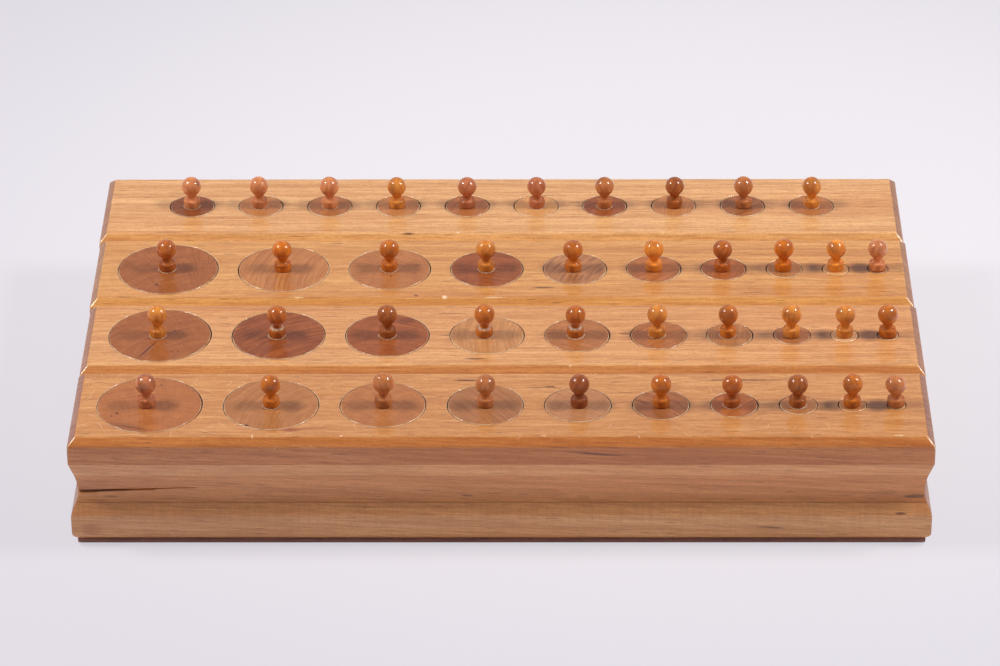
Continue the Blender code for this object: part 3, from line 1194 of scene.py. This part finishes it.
def block_finish(name, look):
    material, shader, place = new_finish(name)
    board = swung(place, -math.radians(look["dip"]), "Y")
    ringed = ring_place(board, look["pith"], look["seed"])
    noises = noises_of({"rings": ringed, "board": board}, block_noises, look["seed"])
    fibres = noises["fibres"]
    facing = split(add("NewGeometry").outputs["Normal"])
    cut_end = spread(sum_up("ABSOLUTE", facing["X"]), 0.5, 0.66)

    mix = planed_wood(noises, board, look)
    mix = sides_painted_light_and_ripples(mix, look, place, facing["Z"])
    mix = cut_ends(mix, look, place, ringed, cut_end)
    bare = worn_places(look, place, facing["Z"])
    mix = mixed(bare, mix, bare_wood)
    ragged = spread(fibres, 0.25, 0.7, 1.5, 0.35)
    # The dark marks include painted shade along the crack of the front block.
    mix = mixed(marks(place, look["dark"], ragged), mix, dark_streak)
    mix = mixed(marks(place, look["red"], ragged), mix, red_streak)

    dull = spread(fibres, 0.3, 0.7, 0.42, 0.55)
    height = sum_up("ADD", times(fibres, 0.4), times(bare, -1.2))
    feed(shader, {"Base Color": mix, "Roughness": most(dull, times(bare, 0.7)),
                  "Normal": bumps(height, 0.35, 0.0002), "Coat Weight": spread(cut_end, 0, 1, 1, 0.55),
                  "Coat Roughness": 0.13, "Coat IOR": 1.5, "Specular IOR Level": 0.12})
    return material


# %% [markdown]
# Each block was sawn from another board, so it has its own pith, its own tone and its own marks. The
# streaks on the decks, the few dark spots on the front, two dark marks of painted shade along the crack,
# and the main chips are placed where the photograph has them. They are given in millimetres: from where
# to where along the block, how far back or how far behind the front face, and how high, either on the
# deck or above the foot.

# %% Marks of each block
deck, foot = 1000 * deck_height, 1000 * foot_height
front_face, second_face, third_face, back_face = (1000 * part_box(row + "_block")[0].y for row in row_names)


def streak(x_from, x_to, y, z, half_width=0.0007, strength=0.8, swing=0, dip=0):
    """A mark along the grain."""
    middle = (0.0005 * (x_from + x_to), 0.001 * y, 0.001 * z)
    half_length = 0.0005 * abs(x_to - x_from)
    return (middle, (1.3 * half_length, 1.8 * half_width, 1.8 * half_width), (dip, swing), strength)


def front_streak(x_from, x_to, behind, above, half_width, strength=0.8, dip=0):
    """A mark on the moulded front of the front block."""
    return streak(x_from, x_to, front_face + behind, foot + above, half_width, strength, 0, dip)


front_dark_and_crack_shade = [
    streak(104.2, 148.6, -82.2, deck, 0.0006),
    streak(-25.5, -11.5, -82.5, deck, 0.0006, 1),
    streak(22.2, 29, -89.2, deck, 0.0008, 1),
    streak(13, 24, -89.9, deck, 0.0004, 0.6),
    streak(-131, -122, -85.5, deck, 0.0006),
    streak(7.5, 9.5, front_face + 1, deck - 1.5, 0.0006),
    front_streak(34, 66, 0, 53, 0.0005, 0.8, 5),
    front_streak(208, 221, 3.6, 25, 0.0008, 0.9),
    front_streak(203, 210, 0.5, 16.4, 0.0005),
    front_streak(-205, -196, 3.9, 25, 0.0004, 0.6),
    # Painted shade: these two dark marks lie along the open crack, where shade falls inside it.
    front_streak(-226, -188, 5, 28.7, 0.0010, 0.9),
    front_streak(-198, -166, 5, 30.2, 0.0006, 0.7),
    front_streak(-21, -13, 3.6, 25.4, 0.0004, 0.8, 5),
    front_streak(-83, -77, 1.8, 38.3, 0.0003, 0.5),
    front_streak(-75.5, -72, 1.8, 38.3, 0.0004, 0.6),
    front_streak(-86.5, -77, 0, 53, 0.0004, 0.5, 3),
    front_streak(-75, -61, 2, 19.4, 0.0003, 0.4),
    front_streak(151, 157, 2, 37.5, 0.0004, 0.7),
    front_streak(132, 147, 0, 8.3, 0.0004, 0.7, 4),
    front_streak(68, 90, 3, 33, 0.0003, 0.4, 5),
]
front_red = [
    streak(-112.5, -101, -131.6, deck, 0.0013, 0.95, 5),
    streak(-121, -86, -130.8, deck, 0.0008, 0.55, 5),
    front_streak(-217, -206, 0.2, 7, 0.0030, 0.35),
]
front_bare = [
    streak(202, 207.5, front_face + 5.1, deck, 0.0006, 0.6),
    streak(-127.3, -126.3, front_face + 5, deck - 1, 0.0012, 0.7),
    streak(21, 24, front_face + 5, deck, 0.0004, 0.6),
    streak(-82, -80.5, front_face + 5, deck, 0.0005, 0.7),
]
second_dark = [streak(-19.4, -6.8, -60.3, deck, 0.0006), streak(62.5, 68.5, -34, deck, 0.0006, 0.7)]
second_bare = [
    streak(72, 74, second_face + 4.6, deck, 0.0007, 0.7),
    streak(-60, -57.5, second_face + 5, deck, 0.0004, 0.6),
]
third_dark = [streak(16.3, 28.7, 15.0, deck, 0.0006), streak(-47.5, -45, 6.4, deck)]
third_bare = [
    streak(-32.2, -29.4, third_face + 5, deck - 0.3, 0.0011, 0.85),
    streak(-113.8, -106.8, third_face + 4.4, deck, 0.0004, 0.7),
    streak(-9, 3, third_face + 4.4, deck, 0.0004, 0.6),
]
back_dark = [streak(-56.5, -47.5, 75.3, deck, 0.0007, 1), streak(-36.5, -24, 74.4, deck, 0.0006, 1)]
back_bare = [
    streak(-26, -23.5, back_face + 4.8, deck, 0.0006, 0.7),
    streak(31, 33.5, back_face + 5, deck, 0.0005, 0.6),
]
print(len(front_dark_and_crack_shade + front_red + front_bare), "marks on the front block")

# %% [markdown]
# The looks of a block: where its pith is (back and up from the origin), how far its grain dips, its
# lightest tone, a last tint over all the planed wood and one of painted light over the sloping chamfer.
# Then shares: of the fine grain, of the painted bands of light and shade along the moulding, of the end
# grain, and of the scratches in patches and at the left end.

# %% The blocks' looks
block_looks = {
    "front": {
        "seed": 3.1, "pith": (-0.34, -0.12), "dip": 2.6, "light": (0.66, 0.305, 0.108),
        "gain": (1.04, 1.09, 1.05), "slope_painted_light": (0.92, 0.70, 0.51), "grain": 0.85, "bands": 1,
        "ends": 0.88, "worn": 0.8, "busy": 1, "dark": front_dark_and_crack_shade, "red": front_red, "bare": front_bare,
    },
    "second": {
        "seed": 7.7, "pith": (-0.30, 0.02), "dip": 0, "light": (0.70, 0.345, 0.13),
        "gain": (1.11, 1.17, 1.20), "slope_painted_light": (0.925, 0.79, 0.62), "grain": 0.80, "bands": 0.65,
        "ends": 0.76, "worn": 0.4, "busy": 0.2, "dark": second_dark, "red": [], "bare": second_bare,
    },
    "third": {
        "seed": 11.9, "pith": (0.33, -0.10), "dip": 0, "light": (0.71, 0.345, 0.115),
        "gain": (1.08, 1.12, 1.04), "slope_painted_light": (1.14, 1.22, 1.12), "grain": 0.84, "bands": 0.65,
        "ends": 0.76, "worn": 0.3, "busy": 0.1, "dark": third_dark, "red": [], "bare": third_bare,
    },
    "back": {
        "seed": 17.3, "pith": (0.42, -0.05), "dip": 0, "light": (0.80, 0.42, 0.17),
        "gain": (1.12, 1.22, 1.28), "slope_painted_light": (0.96, 0.92, 0.78), "grain": 0.72, "bands": 0.65,
        "ends": 0.76, "worn": 0.2, "busy": 0, "dark": back_dark, "red": [], "bare": back_bare,
    },
}
for row, block in blocks.items():
    block.data.materials.clear()
    block.data.materials.append(block_finish(row + "_block_finish", block_looks[row]))
    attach(block, row + "_block")
    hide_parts(row + "_block")
print("finished", len(blocks), "blocks")

# %% [markdown]
# The board under a block is pressed wood fibre, dark brown and dull. Its sawn edge shows the fibres as
# a fine, slightly layered speckle, and its lowest edge is painted paler and greyer, as painted light
# and reflection from the bright floor close below it.

# %% Finish of the boards
board_dark, board_light = (0.20, 0.072, 0.047), (0.42, 0.18, 0.118)
board_layer, board_floor_reflection = (0.13, 0.042, 0.027), (0.42, 0.26, 0.235)
reflection_top, reflection_full = 0.0020, 0.0004

board_finish, shader, place = new_finish("board_finish")
speckle = grainy(sized(place, (900, 900, 2600)), 3, 0.7)
layers = grainy(sized(place, (60, 60, 1500)), 2)
mix = mixed(spread(speckle, 0.35, 0.7), board_dark, board_light)
mix = mixed(spread(layers, 0.4, 0.65, 0, 0.5), mix, board_layer)
# Painted reflection: the lowest edge of the board is lifted toward the floor's pale tone.
mix = mixed(spread(split(place)["Z"], reflection_top, reflection_full, 0, 0.8), mix, board_floor_reflection)
feed(shader, {"Base Color": mix, "Roughness": spread(speckle, 0.3, 0.7, 0.6, 0.8),
              "Normal": bumps(speckle, 0.5, 0.0002)})
for row, board in boards.items():
    board.data.materials.append(board_finish)
    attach(board, row + "_block")
    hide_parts(row + "_base")
print("finished", len(boards), "boards")

# %% [markdown]
# ## End grain
# The top of a cylinder is cut across the fibres, so it shows slices of the growth rings as faint arcs,
# and fine rays at right angles to them. Every cylinder was cut from another stick, and the difference
# in tone is what makes the row so lively: straw, tan, rose, brown, plum, rust and maroon.
#
# Here the tree stands upright along Z. The pith is off to one side, at its own distance and in its own
# direction for each cylinder. Every tone is a light and a dark colour.

# %% Finish of a cylinder
disc_tones = {
    "straw": ((0.615, 0.292, 0.112), (0.413, 0.167, 0.0562)),
    "sand": ((0.551, 0.226, 0.0756), (0.371, 0.13, 0.04)),
    "tan": ((0.488, 0.206, 0.0724), (0.329, 0.118, 0.0378)),
    "rose": ((0.498, 0.193, 0.0648), (0.329, 0.108, 0.0335)),
    "brown": ((0.488, 0.174, 0.054), (0.297, 0.0902, 0.027)),
    "umber": ((0.413, 0.136, 0.04), (0.244, 0.0682, 0.0194)),
    "plum": ((0.466, 0.174, 0.0594), (0.254, 0.0814, 0.027)),
    "rust": ((0.456, 0.141, 0.0378), (0.265, 0.0671, 0.0173)),
    "maroon": ((0.382, 0.108, 0.0313), (0.201, 0.0473, 0.013)),
    "honey": ((0.689, 0.341, 0.121), (0.53, 0.226, 0.0734)),
    "cream": ((0.74, 0.41, 0.19), (0.58, 0.28, 0.115)),
    "oxblood": ((0.30, 0.088, 0.025), (0.16, 0.039, 0.010)),
    "ash": ((0.529, 0.243, 0.107), (0.355, 0.139, 0.0537)),
    "nut": ((0.426, 0.178, 0.069), (0.287, 0.102, 0.036)),
}
disc_noises = {
    "ring_lines": ("rings", (1150, 40, 25), (1, 1, 0), 3, 0.7),
    "ring_bands": ("rings", (230, 30, 9), (0, 1, 1), 2, 0.5),
    "ray_lines": ("rings", (80, 1400, 40), (1, 0, 1), 3, 0.7),
    "mottle": ("stick", (160, 160, 30), (0, 1, 0), 3, 0.6),
    "pores": ("stick", (1900, 1900, 90), (1, 0, 0), 1, 0.5),
}
disc_pore, disc_spot = (0.12, 0.045, 0.02), (0.10, 0.028, 0.016)
disc_wander, disc_wander_scale = (0.0022, 0.0022, 0), (70, 70, 14)
disc_arc_scale = (80, 80, 80)


def cylinder_finish(name, seed, tone, degrees, pith, rings, rays, spots):
    """pith is how far it is from the middle in millimetres, and rings and rays are how strong they are."""
    light, dark = disc_tones[tone]
    material, shader, place = new_finish(name)
    bent = wavy(place, disc_wander_scale, (seed, 0, 0), disc_wander, 0)
    x, y, z = split(swung(bent, math.radians(-degrees), "Z"))
    away = sum_up("ADD", y, 0.001 * pith)
    ringed = joined(distance(x, away), times(sum_up("ARCTAN2", x, away), 0.001 * pith), z)
    noises = noises_of({"rings": ringed, "stick": place}, disc_noises, seed)
    mottle = noises["mottle"]
    mix = tinted(light, noises, (
        ("ring_bands", 0.42, 0.60, min(1, 0.45 * rings), dark),
        ("ring_lines", 0.45, 0.60, min(1, 0.95 * rings), dark),
        ("ray_lines", 0.45, 0.60, 0.95 * rays, dark),
        ("mottle", 0.4, 0.7, 0.30, dark),
        ("pores", 0.40, 0.30, 0.20, light),
        ("pores", 0.62, 0.74, 0.35, disc_pore),
    ))
    mix = mixed(marks(place, spots, spread(mottle, 0.3, 0.7, 1.3, 0.6)), mix, disc_spot)
    wear = add("Attribute", attribute_name="wear").outputs["Fac"]
    arcs = grainy(sized(place, disc_arc_scale, (seed, 0, 0)), 3, 0.7)
    chipped = times(spread(wear, 0.7, 0.98), spread(arcs, 0.45, 0.58, 0.4, 1))
    mix = mixed(times(chipped, 0.75), mix, bare_wood)
    height = sum_up("ADD", noises["ring_lines"], times(noises["pores"], -0.8))
    feed(shader, {"Base Color": mix, "Roughness": spread(mottle, 0.3, 0.7, 0.45, 0.6),
                  "Normal": bumps(height, 0.3, 0.0002), "Coat Weight": 0.7, "Coat Roughness": 0.15,
                  "Specular IOR Level": 0.08})
    return material


# %% [markdown]
# What each disc looks like is written as a short table: its tone, which way its rings run, how far its
# pith is in millimetres, and how strong its rings and rays are. A few have a dark pit, a band or a crack
# of their own. Those are given in millimetres from the middle of the disc: where the mark is, its half
# length and half width, how many degrees it is turned and how strong it is.

# %% The forty cylinders' looks
disc_looks = {
    "front": (("brown", 8, 70, 0.5, 0.35), ("tan", 62, 44, 0.7, 0.3), ("rose", 50, 60, 0.4, 0.6),
              ("nut", -52, 90, 0.7, 0.2), ("ash", 55, 30, 0.5, 0.6), ("plum", -38, 90, 1.3, 0.3),
              ("rust", 52, 60, 0.8, 0.3), ("tan", 20, 50, 0.6, 0.4), ("sand", 0, 50, 0.5, 0.3),
              ("honey", 0, 50, 0.5, 0.3)),
    "second": (("umber", 38, 60, 0.6, 0.5), ("maroon", 35, 80, 1.1, 0.3), ("maroon", -12, 40, 0.6, 0.2),
               ("straw", 90, 90, 0.7, 0.4), ("rose", -20, 60, 0.9, 0.4), ("brown", 40, 70, 0.8, 0.3),
               ("tan", 88, 80, 0.8, 0.4), ("plum", -30, 50, 0.6, 0.4), ("cream", 30, 50, 0.4, 0.3),
               ("brown", 0, 50, 0.5, 0.3)),
    "third": (("umber", 25, 60, 0.6, 0.6), ("sand", 75, 90, 0.9, 0.3), ("rose", 75, 28, 0.3, 0.7),
              ("maroon", -8, 60, 0.8, 0.3), ("ash", 62, 80, 1.2, 0.2), ("brown", 35, 70, 0.9, 0.3),
              ("rust", 70, 60, 0.7, 0.4), ("tan", 90, 60, 0.8, 0.4), ("honey", 10, 50, 0.4, 0.3),
              ("brown", 0, 50, 0.5, 0.3)),
    "back": (("oxblood", 20, 60, 0.5, 0.4), ("sand", -10, 60, 0.7, 0.3), ("plum", 60, 60, 0.5, 0.4),
             ("sand", 15, 60, 0.8, 0.4), ("brown", 70, 60, 0.7, 0.3), ("honey", 0, 60, 0.4, 0.4),
             ("maroon", 45, 60, 0.6, 0.4), ("sand", 80, 60, 0.6, 0.3), ("plum", 30, 60, 1.7, 0.4),
             ("rose", 10, 60, 0.5, 0.4)),
}
disc_spots = {
    ("front", 1): ((-16.1, -8.5, 1.2, 1.6, 20, 0.9), (-18.9, -11.0, 0.8, 1.0, 0, 0.8),
                   (4.8, 19.8, 1.0, 1.0, 0, 0.7), (-11.5, -22.5, 15.0, 6.5, -14, 0.30),
                   (-7.5, -22.2, 12.5, 0.9, -17, 0.75)),
    ("front", 2): ((-11.7, -20.4, 1.7, 1.4, 30, 0.9),),
    ("second", 1): ((-5.5, -15.0, 13.0, 0.8, 63, 0.9), (7.5, -16.7, 0.8, 0.8, 0, 0.8),
                    (10.8, -16.7, 0.9, 0.8, 0, 0.8), (7.8, 4.8, 0.8, 0.8, 0, 0.8)),
    ("second", 3): ((10.0, 15.0, 7.0, 4.5, 20, 0.45),),
    ("third", 1): ((-5.1, -17.2, 1.3, 1.6, 30, 0.9), (-4.0, -18.6, 2.8, 0.5, -35, 0.7)),
    ("third", 3): ((1.0, -8.0, 0.9, 0.7, 0, 0.9), (15.0, 4.0, 3.0, 1.2, 20, 0.5),
                   (14.0, -5.0, 2.2, 0.9, -20, 0.5)),
    ("back", 9): ((4.0, -3.0, 3.0, 1.2, 20, 0.4),),
}
# The wavy figure of one disc: the middle and the degrees of each dark band
wave_half_length, wave_half_width, wave_strength = 7.0, 1.4, 0.36
waves = ((-13.9, 5.1, 62), (-9.6, 3.2, 60), (-6.6, -1.5, 64), (-6.8, -10.5, 74), (-2.8, -10.2, 75),
         (0.3, -9.5, 73), (3.2, -10.2, 72), (7.3, -8.9, 64), (7.3, 1.3, 48), (12.9, 3.2, 52),
         (10.4, 11.5, 45), (13.6, -2.5, 56))
disc_spots["third", 5] = [(x, y, wave_half_length, wave_half_width, degrees, wave_strength)
                          for x, y, degrees in waves]
long_mark, shallow, deep = 5, 0.01, 0.02


def disc_spot_at(x, y, half_length, half_width, swing, strength):
    """One mark of a disc. A long one also goes deeper down the side."""
    depth = deep if half_length > long_mark else shallow
    half_sizes = (0.001 * half_length, 0.001 * half_width, depth)
    return ((0.001 * x, 0.001 * y, 0), half_sizes, (0, swing), strength)


for (row, number), cylinder in cylinders.items():
    seed = 5.3 * row_names.index(row) + 1.7 * number
    look = disc_looks[row][number - 1]
    spots = [disc_spot_at(*mark) for mark in disc_spots.get((row, number), ())]
    cylinder.data.materials.append(cylinder_finish(f"{cylinder.name}_finish", seed, *look, spots))
    body = f"{row}_cylinder_{number}"
    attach(cylinder, body)
    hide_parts(body)
print("finished", len(cylinders), "cylinders")

# %% [markdown]
# ## Knob finish
# The knobs are small turnings with thick glossy lacquer. The wood is redder than the blocks, from pink
# through orange to dark red-brown, and the grain runs up through the ball, so it closes in loops at the
# top. The lacquer is a clear coat. On the ball, which every finger rubs, it is smooth enough to mirror
# the two softboxes as small points, and round the neck and the collar it is worn thin.

# %% Finish of a knob
knob_tones = {
    "pink": ((0.58, 0.195, 0.080), (0.40, 0.115, 0.043)),
    "blush": ((0.74, 0.290, 0.115), (0.55, 0.180, 0.065)),
    "pale": ((0.58, 0.205, 0.064), (0.44, 0.135, 0.038)),
    "red": ((0.57, 0.158, 0.024), (0.37, 0.083, 0.013)),
    "orange": ((0.63, 0.185, 0.022), (0.45, 0.108, 0.013)),
    "tangerine": ((0.74, 0.205, 0.014), (0.54, 0.122, 0.009)),
    "gold": ((0.75, 0.280, 0.047), (0.57, 0.175, 0.027)),
    "amber": ((0.90, 0.320, 0.045), (0.70, 0.205, 0.026)),
    "brown": ((0.44, 0.128, 0.026), (0.28, 0.070, 0.014)),
    "dark": ((0.38, 0.098, 0.024), (0.24, 0.055, 0.014)),
}
knob_patch = (0.20, 0.06, 0.025)
neck_height, ball_height = 0.0050, 0.0095


def knob_finish(name, tone, seed):
    light, dark = knob_tones[tone]
    material, shader, place = new_finish(name)
    leaning = swung(place, 0.5 * math.sin(seed), "Y")
    layers = grainy(sized(leaning, (420, 300, 60), (seed, seed, 0)), 2, 0.5, 0.4)
    fibres = grainy(sized(leaning, (1300, 1300, 120), (seed, 0, 0)), 2, 0.6)
    patch = grainy(sized(place, (130, 130, 100), (0, seed, 0)), 1)
    mix = mixed(spread(layers, 0.36, 0.64, 0, 0.85), light, dark)
    mix = mixed(spread(fibres, 0.45, 0.7, 0, 0.35), mix, dark)
    mix = mixed(spread(patch, 0.5, 0.68, 0, 0.4), mix, knob_patch)
    coat = spread(split(place)["Z"], neck_height, ball_height, 0.55, 1)
    feed(shader, {"Base Color": mix, "Roughness": spread(fibres, 0.3, 0.7, 0.4, 0.52),
                  "Normal": bumps(fibres, 0.15, 0.0001), "Coat Weight": coat, "Coat Roughness": 0.05,
                  "Coat IOR": 1.42, "Specular IOR Level": 0.1})
    return material


knob_looks = {
    "front": "pink orange pale pale dark orange red brown orange pale",
    "second": "gold red brown orange red gold orange gold gold orange",
    "third": "red tangerine orange gold orange amber red tangerine amber blush",
    "back": "blush blush blush gold pink pink pale brown pale gold",
}
for (row, number), knob in knobs.items():
    tone = knob_looks[row].split()[number - 1]
    seed = 3.9 * row_names.index(row) + 2.3 * number
    knob.data.materials.append(knob_finish(f"{knob.name}_finish", tone, seed))
    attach(knob, f"{row}_cylinder_{number}")
    if row == "front":
        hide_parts(f"front_knob_{number}")
print("finished", len(knobs), "knobs")

# %% [markdown]
# Dried glue is a cloudy, pale skin with a soft shine.

# %% Finish of the glue
glue_dark, glue_light = (0.36, 0.17, 0.085), (0.62, 0.42, 0.28)

glue_finish, shader, place = new_finish("glue_finish")
cloud = grainy(sized(place, (700, 700, 700)), 3, 0.6)
feed(shader, {"Base Color": mixed(spread(cloud, 0.35, 0.65), glue_dark, glue_light),
              "Roughness": spread(cloud, 0.3, 0.7, 0.35, 0.5)})
for (row, number), rings in glues.items():
    for glue in rings:
        glue.data.materials.append(glue_finish)
        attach(glue, f"{row}_cylinder_{number}")
print("finished the glue of", len(glues), "knobs")

# %% [markdown]
# ## The dressed size
# The size of the dressed object is printed, in millimetres.

# %% Size of the dressed object
low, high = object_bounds()
print("dressed", [round(1000 * side, 1) for side in high - low], "mm")
